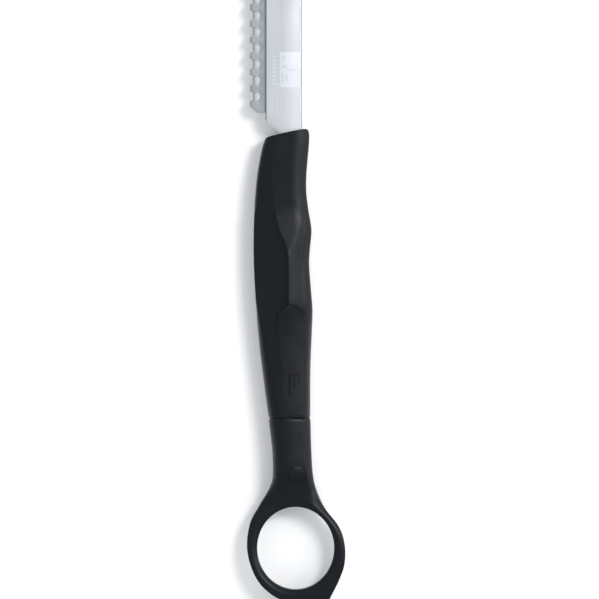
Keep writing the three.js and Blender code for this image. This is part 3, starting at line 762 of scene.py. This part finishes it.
def make_ring():
    low, high = (-13.4, -66.6, -0.4), (17.2, 0.4, 13.0)
    add_moulding(
        "ring_moulding", finger_ring, low, high, 0.28, RING, "ring", "finger_ring",
    )
    low, high = (CROSS_PIN[0] - 3, CROSS_PIN[1] - 3, 0), (CROSS_PIN[0] + 3, CROSS_PIN[1] + 3, 12.4)
    add_moulding(
        "pin_button", pin_head, low, high, 0.15, BUTTON, "ring", "ring_cross_pin",
    )


# ---------------------------------------------------------------- carrier, guard and blade

CARRIER = {"left": -7.1, "right": 3.66, "tip": 161, "sheet": 0.5, "half": 1.65, "corner": 1.6}
CARRIER_FOOT = (78, 84.5, 88.6)  # its end inside the handle, and start and end of the slanted root
CARRIER_NECK = -3.2  # its left edge inside the handle
SPINE_REACH = 0.35  # how far in from its right edge the carrier's spine begins to curve
BOW_START, BOW_END = -2.5, 1.0  # the flanges bow in more and more between these, and evenly beyond
BOW_SLOPE = 0.07
PRESS_DEPTH = 0.16  # how far the slanted root's edge is pressed in, and the length it fades over:
PRESS_FADE = 1.6
PRESS_ACROSS = ((0, 1), (0.6, 0.45), (1.4, 0))  # distance in from the edge, and share of the depth
FLAT_INSET = 1.8
GUARD = {"nose": -11.9, "inner": -3.6, "start": 90.8, "end": 158.3, "sheet": 0.4, "half": 0.85}
GUARD_CORNER = 3.4
SLOTS = {"count": 13, "first": 95.7, "pitch": 4.82, "height": 2.45, "depth_to": -8.8}
TOOTH_FLARE, FLARE_REACH = 0.6, 1.6  # the teeth narrow by this towards the fold, from this far off
SLOT_PRESS = 0.16  # depth and width of the hollow pressed round a slot's closed end
SLOT_PRESS_WIDTH = 0.75
BLADE = {"edge": -10.9, "spine": -3.3, "bevel": 1.1, "start": 93.4, "length": 62, "half": 0.12}
BLADE_CLIP = 0.8  # how far the blade's corners are clipped
EDGE_HALF = 0.01
PATCH = ((-2.9, 98.4), (3.0, 108.9))
PRINT_BARS = [  # low and high corners of the printed bars, from the patch's low corner
    ((0.7, 1.0), (1.0, 4.2)), ((1.9, 1.9), (2.2, 4.0)), ((1.8, 5.1), (4.6, 5.3)),
    ((0.5, 5.9), (2.1, 6.2)), ((0.9, 8.4), (1.35, 9.3)),
]
TICKS = {"count": 8, "first": 99.2, "pitch": 1.15, "left": -4.95, "length": 1.0, "width": 0.45}
SHORT_TICK = 0.6  # every second tick's share of the length
FROST_LIFT = 0.012
PRINT_LIFT = 0.008
GRIP_MARK = [  # low and high corners of the polished bars on the grip inlay
    ((-0.4, 6.6), (0.5, 13.2)), ((1.2, 8.4), (1.7, 13.2)), ((2.4, 10.2), (2.9, 13.2)),
]
GRIP_MARK_LIFT = 0.03
MARK_DEPTH = 0.1


def grid_faces(rows, columns, first=0):
    """Quads of a grid of points laid out row by row."""
    return [
        (at, at + 1, at + 1 + columns, at + columns)
        for row in range(rows - 1)
        for at in range(first + row * columns, first + (row + 1) * columns - 1)
    ]


def add_sheet(name, points, faces, sheet, bevel, material, node, body):
    """A folded sheet: the middle surface, thickened evenly, with its edges eased."""
    piece = add_piece(name, points, faces, material, body, node, sharp_angle=40)
    clean = bmesh.new()
    clean.from_mesh(piece.data)
    bmesh.ops.remove_doubles(clean, verts=clean.verts, dist=0.005 * MM)
    bmesh.ops.dissolve_degenerate(clean, edges=clean.edges, dist=0.005 * MM)
    clean.to_mesh(piece.data)
    clean.free()
    thick = piece.modifiers.new("thickness", "SOLIDIFY")
    thick.thickness = sheet * MM
    thick.offset = 0
    thick.use_even_offset = True
    ease = piece.modifiers.new("eased_edges", "BEVEL")
    ease.width = bevel * MM
    ease.segments = 2
    ease.limit_method = "ANGLE"
    ease.angle_limit = math.radians(50)


def carrier_left(y):
    """The left edge of the carrier's two flanges: a slanted root, straight, and a rounded tip."""
    _, low, high = CARRIER_FOOT
    root = CARRIER_NECK + (CARRIER["left"] - CARRIER_NECK) * np.clip((y - low) / (high - low), 0, 1)
    into = max(y - CARRIER["tip"] + CARRIER["corner"], 0)
    return root + CARRIER["corner"] - math.sqrt(max(CARRIER["corner"] ** 2 - into**2, 0))


def bow_drop(x):
    """How far the carrier's flanges have bowed in at x."""
    along = min(max((x - BOW_START) / (BOW_END - BOW_START), 0), 1)
    return BOW_SLOPE * ((BOW_END - BOW_START) * along**2 / 2 + max(x - BOW_END, 0))


def carrier_section(left, press):
    """Points (x, height) of one flange's middle surface, from its free edge to the spine."""
    middle = CARRIER["half"] - CARRIER["sheet"] / 2
    centre = CARRIER["right"] - CARRIER["sheet"] / 2 - SPINE_REACH
    section = [(left + inset, middle - share * press) for inset, share in PRESS_ACROSS]
    section += [(x, middle) for x in np.linspace(max(BOW_START, left + FLAT_INSET), centre - 0.1, 6)]
    for angle in np.linspace(math.pi / 2, 0, 17)[:-1]:
        section.append((centre + SPINE_REACH * math.cos(angle), middle * math.sin(angle)))
    return [(x, z * (1 - bow_drop(x) / middle)) for x, z in section]


def make_carrier():
    """A strip folded round a soft spine. Its edge is pressed in a little along the slanted root."""
    foot, slant_low, slant_high = CARRIER_FOOT
    along = [foot, *np.linspace(slant_low, slant_high, 6)]
    along += [slant_high + 0.7, slant_high + PRESS_FADE, 110, 135]
    along += list(CARRIER["tip"] - CARRIER["corner"] * (1 - np.sin(np.linspace(0, math.pi / 2, 7))))
    points = []
    for y in along:
        press = PRESS_DEPTH * np.clip((slant_high + PRESS_FADE - y) / PRESS_FADE, 0, 1)
        half = carrier_section(carrier_left(y), press)
        points += [(x, y, AXIS + z) for x, z in half]
        points.append((CARRIER["right"] - CARRIER["sheet"] / 2, y, AXIS))
        points += [(x, y, AXIS - z) for x, z in half[::-1]]
    columns = 2 * len(half) + 1
    add_sheet(
        "carrier", points, grid_faces(len(along), columns), CARRIER["sheet"], 0.1, CARRIER_STEEL,
        "carrier_channel", "handle",
    )


def fold_guard(u, y):
    """Where a point of the guard's flat sheet lies once folded: u runs across, from the nose."""
    radius = GUARD["half"] - GUARD["sheet"] / 2
    centre = GUARD["nose"] + GUARD["half"]
    quarter = radius * math.pi / 2
    side = math.copysign(1, u)
    if abs(u) < quarter:
        angle = u / radius
        return centre - radius * math.cos(angle), y, AXIS + radius * math.sin(angle)
    return centre + abs(u) - quarter, y, AXIS + side * radius


def make_guard():
    """A blanked comb folded over the blade's edge, built slot by slot from half pitches."""
    radius = GUARD["half"] - GUARD["sheet"] / 2
    centre = GUARD["nose"] + GUARD["half"]
    quarter = radius * math.pi / 2
    round_end = SLOTS["height"] / 2
    slot_end = quarter + SLOTS["depth_to"] - centre
    sheet_end = quarter + GUARD["inner"] - centre
    bends = list(np.linspace(0, quarter, 7))
    rounding = [slot_end - round_end * (1 - math.sin(a)) for a in np.linspace(0, math.pi / 2, 9)]
    beyond = [slot_end + step for step in (0.25, 0.5, 0.8, 1.15, 1.6)]
    across = bends + [quarter + 0.5] + rounding + beyond + [sheet_end]
    across = [-u for u in across[:0:-1]] + across

    def slot_half(u, flared):
        past = max(abs(u) - (slot_end - round_end), 0)
        if past >= round_end:
            return 0
        flare = TOOTH_FLARE * max(1 - abs(u) / FLARE_REACH, 0) ** 2 if flared else 0
        return math.sqrt(round_end**2 - past**2) + flare

    def end_inset(u):
        """How far the sheet's rounded outer corner is cut back."""
        from_nose = fold_guard(u, 0)[0] - GUARD["nose"] - GUARD["sheet"] / 2
        past = max(GUARD_CORNER - GUARD["sheet"] / 2 - from_nose, 0)
        return GUARD_CORNER - math.sqrt(max(GUARD_CORNER**2 - past**2, 0))

    def pressed(u, y, middle):
        """A point of the sheet, which is pressed in a little round the slot's closed end."""
        x, y, z = fold_guard(u, y)
        past = abs(u) - (slot_end - round_end)
        from_slot = math.hypot(max(past, 0), y - middle) - round_end
        depth = SLOT_PRESS * math.exp(-((from_slot / SLOT_PRESS_WIDTH) ** 2)) * fade(past, round_end)
        return (x, y, z - math.copysign(depth, u))

    points, faces = [], []
    lines = 6
    last = SLOTS["count"] - 1
    for k in range(SLOTS["count"]):
        middle = SLOTS["first"] + k * SLOTS["pitch"]
        for side in (-1, 1):
            outermost = (k == 0 and side == -1) or (k == last and side == 1)
            sheet_edge = GUARD["start"] if side == -1 else GUARD["end"]
            first = len(points)
            for u in across:
                slot_edge = middle + side * slot_half(u, not outermost)
                tooth = middle + side * SLOTS["pitch"] / 2
                if outermost:
                    tooth = sheet_edge - side * end_inset(u)
                for t in np.linspace(0, 1, lines):
                    points.append(pressed(u, slot_edge + t * (tooth - slot_edge), middle))
            quads = grid_faces(len(across), lines, first)
            faces += quads if side == 1 else [quad[::-1] for quad in quads]
    add_sheet(
        "guard", points, faces, GUARD["sheet"], 0.07, GUARD_STEEL, "comb_guard", "guard",
    )


def make_blade():
    """A flat blade with a ground edge and clipped corners."""
    edge, spine, bevel, half = BLADE["edge"], BLADE["spine"], BLADE["bevel"], BLADE["half"]
    start, end = BLADE["start"], BLADE["start"] + BLADE["length"]
    stations = (
        (start, BLADE_CLIP), (start + BLADE_CLIP, 0), (end - BLADE_CLIP, 0), (end, BLADE_CLIP),
    )
    points, faces = [], []
    for y, shift in stations:
        tip = edge + shift
        section = [
            (tip, EDGE_HALF), (edge + bevel, half), (spine - shift, half), (spine - shift, -half),
            (edge + bevel, -half), (tip, -EDGE_HALF),
        ]
        points += [(x, y, AXIS + z) for x, z in section]
    count = len(section)
    for row in range(len(stations) - 1):
        for i in range(count):
            a, b = row * count + i, row * count + (i + 1) % count
            faces.append((a, a + count, b + count, b))
    faces.append(tuple(range(count)))
    faces.append(tuple(range(len(points) - 1, len(points) - 1 - count, -1)))
    add_piece(
        "blade", points, faces, BLADE_STEEL, "blade", "razor_blade", sharp_angle=3,
    )


def carrier_top(x, y):
    """Height of the carrier's front flange."""
    return AXIS + CARRIER["half"] - bow_drop(x)


def inlay_top(x, y):
    """Height of the front inlay's surface at a spot, found by halving."""
    low, high = AXIS + 1, AXIS + 9
    for _ in range(16):
        middle = (low + high) / 2
        inside = inlay_skin(np.array(x), np.array(y), np.array(middle)) < 0
        low, high = (middle, high) if inside else (low, middle)
    return low


def plate(low, high, lift, height=carrier_top):
    """A thin rectangular mark that stands proud of a surface by lift: its points and faces."""
    (x0, y0), (x1, y1) = low, high
    columns = 9
    points = []
    for x in np.linspace(x0, x1, columns):
        start, end = height(x, y0) + lift, height(x, y1) + lift
        points += [(x, y0, start - MARK_DEPTH), (x, y0, start), (x, y1, end), (x, y1, end - MARK_DEPTH)]
    faces = [(0, 1, 2, 3), tuple(4 * (columns - 1) + i for i in (3, 2, 1, 0))]
    for at in range(0, 4 * (columns - 1), 4):
        faces += [(at + i, at + i + 4, at + (i + 1) % 4 + 4, at + (i + 1) % 4) for i in range(4)]
    return points, faces


def make_marks():
    """Generic marks: a frosted patch with printed bars and a row of ticks, and bars on the grip."""
    x0, y0 = PATCH[0]
    frosted = [plate(*PATCH, FROST_LIFT)]
    for k in range(TICKS["count"]):
        y = TICKS["first"] + k * TICKS["pitch"]
        end = TICKS["left"] + TICKS["length"] * (SHORT_TICK if k % 2 else 1)
        frosted.append(plate((TICKS["left"], y), (end, y + TICKS["width"]), FROST_LIFT))
    lift = FROST_LIFT + PRINT_LIFT
    printed = [plate((x0 + a, y0 + b), (x0 + c, y0 + d), lift) for (a, b), (c, d) in PRINT_BARS]
    polished = [plate(low, high, GRIP_MARK_LIFT, inlay_top) for low, high in GRIP_MARK]
    for name, parts, material, slot in (
        ("carrier_patch", frosted, FROSTED, "carrier_steel"),
        ("carrier_print", printed, PRINT, "carrier_steel"),
        ("grip_mark", polished, POLISHED, "inlay_rubber"),
    ):
        points, faces = [], []
        for corners, sides in parts:
            faces += [tuple(i + len(points) for i in side) for side in sides]
            points += corners
        add_piece(name, points, faces, material, "handle", None)


# ---------------------------------------------------------------- screws

SHANK_RADIUS, SHANK_START, SHANK_END = 0.92, 1.4, 9.55
THREAD_HEIGHT, THREAD_PITCH = 0.07, 0.75
HEAD_RADIUS, HEAD_MIDDLE, HEAD_HALF, HEAD_ROUND = 1.88, 0.98, 0.62, 0.4
RECESS_HALF_WIDTH, RECESS_REACH, RECESS_FLOOR, RECESS_ROUND = 0.25, 1.05, 1.05, 0.06


def make_screws():
    """Thread-forming screws from the back, with a cross recess in a rounded head."""
    for name, (cx, cy) in SCREWS.items():

        def screw(x, y, z, cx=cx, cy=cy):
            across, along = np.abs(x - cx), np.abs(y - cy)
            radius = np.hypot(across, along)
            turn = np.arctan2(y - cy, x - cx) / (2 * math.pi)
            thread = THREAD_HEIGHT * np.cos(2 * math.pi * (z / THREAD_PITCH - turn))
            shank = np.maximum(radius - SHANK_RADIUS - thread, np.maximum(SHANK_START - z, z - SHANK_END))
            head = smax(radius - HEAD_RADIUS, np.abs(z - HEAD_MIDDLE) - HEAD_HALF, HEAD_ROUND)
            narrow, long = np.minimum(across, along), np.maximum(across, along)
            cross = np.maximum(narrow - RECESS_HALF_WIDTH, long - RECESS_REACH)
            recess = np.maximum(cross, z - RECESS_FLOOR)
            return np.minimum(smax(head, -recess, RECESS_ROUND), shank)

        low, high = (cx - 2.1, cy - 2.1, 0.1), (cx + 2.1, cy + 2.1, 9.8)
        add_moulding(
            name + "_body", screw, low, high, 0.11, PLAIN_STEEL, "handle", name,
        )


# ---------------------------------------------------------------- camera, floor and light

VIEW_WIDTH = 178.3  # millimetres across the picture at the blade plane
VIEW_CENTRE = (2.92, 35.27)  # the picture's middle, in millimetres from the swivel
CAMERA_HEIGHT = 1.6  # metres
SENSOR = 36.0  # millimetres
FLOOR_HALF = 3.0  # metres
WHITE_SURROUNDINGS = (0.96, 0.98, 1.0, 1)
LIGHTS = {  # place and size in metres, and watts
    "key": ((0.43, 0.29, 0.86), (0.22, 0.32), 4.9),
    "side": ((1.0, 0.15, 0.42), (0.22, 1.1), 4.4),
}


def make_camera():
    data = bpy.data.cameras.new("camera")
    camera = bpy.data.objects.new("camera", data)
    bpy.context.scene.collection.objects.link(camera)
    camera.location = (SWIVEL[0] + VIEW_CENTRE[0] * MM, SWIVEL[1] + VIEW_CENTRE[1] * MM, CAMERA_HEIGHT)
    data.sensor_width = SENSOR
    data.lens = SENSOR * (CAMERA_HEIGHT - SWIVEL[2]) / (VIEW_WIDTH * MM)
    data.clip_start, data.clip_end = 0.05, 20
    bpy.context.scene.camera = camera


def area_light(name, location, size, power):
    """A white panel that faces the middle of the tool."""
    data = bpy.data.lights.new(name, "AREA")
    data.shape = "RECTANGLE"
    data.size, data.size_y = size
    data.energy = power
    light = bpy.data.objects.new(name, data)
    bpy.context.scene.collection.objects.link(light)
    light.location = location
    light.rotation_euler = (-Vector(location)).to_track_quat("-Z", "Y").to_euler()


def make_surroundings():
    """Soft white surroundings, the same on every side."""
    world = bpy.data.worlds.new("soft_surroundings")
    world.use_nodes = True
    background = world.node_tree.nodes["Background"]
    background.inputs["Color"].default_value = WHITE_SURROUNDINGS
    background.inputs["Strength"].default_value = 1.0
    bpy.context.scene.world = world


def make_studio():
    """A white floor that the tool lies on, soft surroundings and two lights."""
    mesh = bpy.data.meshes.new("floor")
    corners = [(FLOOR_HALF * x, FLOOR_HALF * y, 0) for x, y in ((-1, -1), (1, -1), (1, 1), (-1, 1))]
    mesh.from_pydata(corners, [], [(0, 1, 2, 3)])
    m = Nodes("floor_white")
    m.set(Base_Color=(0.9, 0.9, 0.905, 1), Roughness=0.9, Specular_IOR_Level=0.1)
    mesh.materials.append(m.material)
    floor = bpy.data.objects.new("floor", mesh)
    bpy.context.scene.collection.objects.link(floor)
    make_surroundings()
    bpy.context.scene.view_settings.view_transform = "Standard"
    for name, (location, size, power) in LIGHTS.items():
        area_light(name, location, size, power)


# ---------------------------------------------------------------- the whole scene

CARRIED_OVER = {  # CAD nodes that the visual model keeps as they are, with these materials
    "carrier_core": PLAIN_STEEL, "blade_spring": PLAIN_STEEL, "swivel_axle": PLAIN_STEEL,
    "axle_clip": PLAIN_STEEL, "wave_washer": PLAIN_STEEL, "thrust_washer": NYLON,
    "axle_bush_lower": BRONZE, "axle_bush_upper": BRONZE,
}

make_handle()
make_ring()
make_carrier()
make_guard()
make_blade()
make_marks()
make_screws()
for node, material in CARRIED_OVER.items():
    frame["nodes"][node].data.materials.clear()
    frame["nodes"][node].data.materials.append(material)
make_camera()
make_studio()
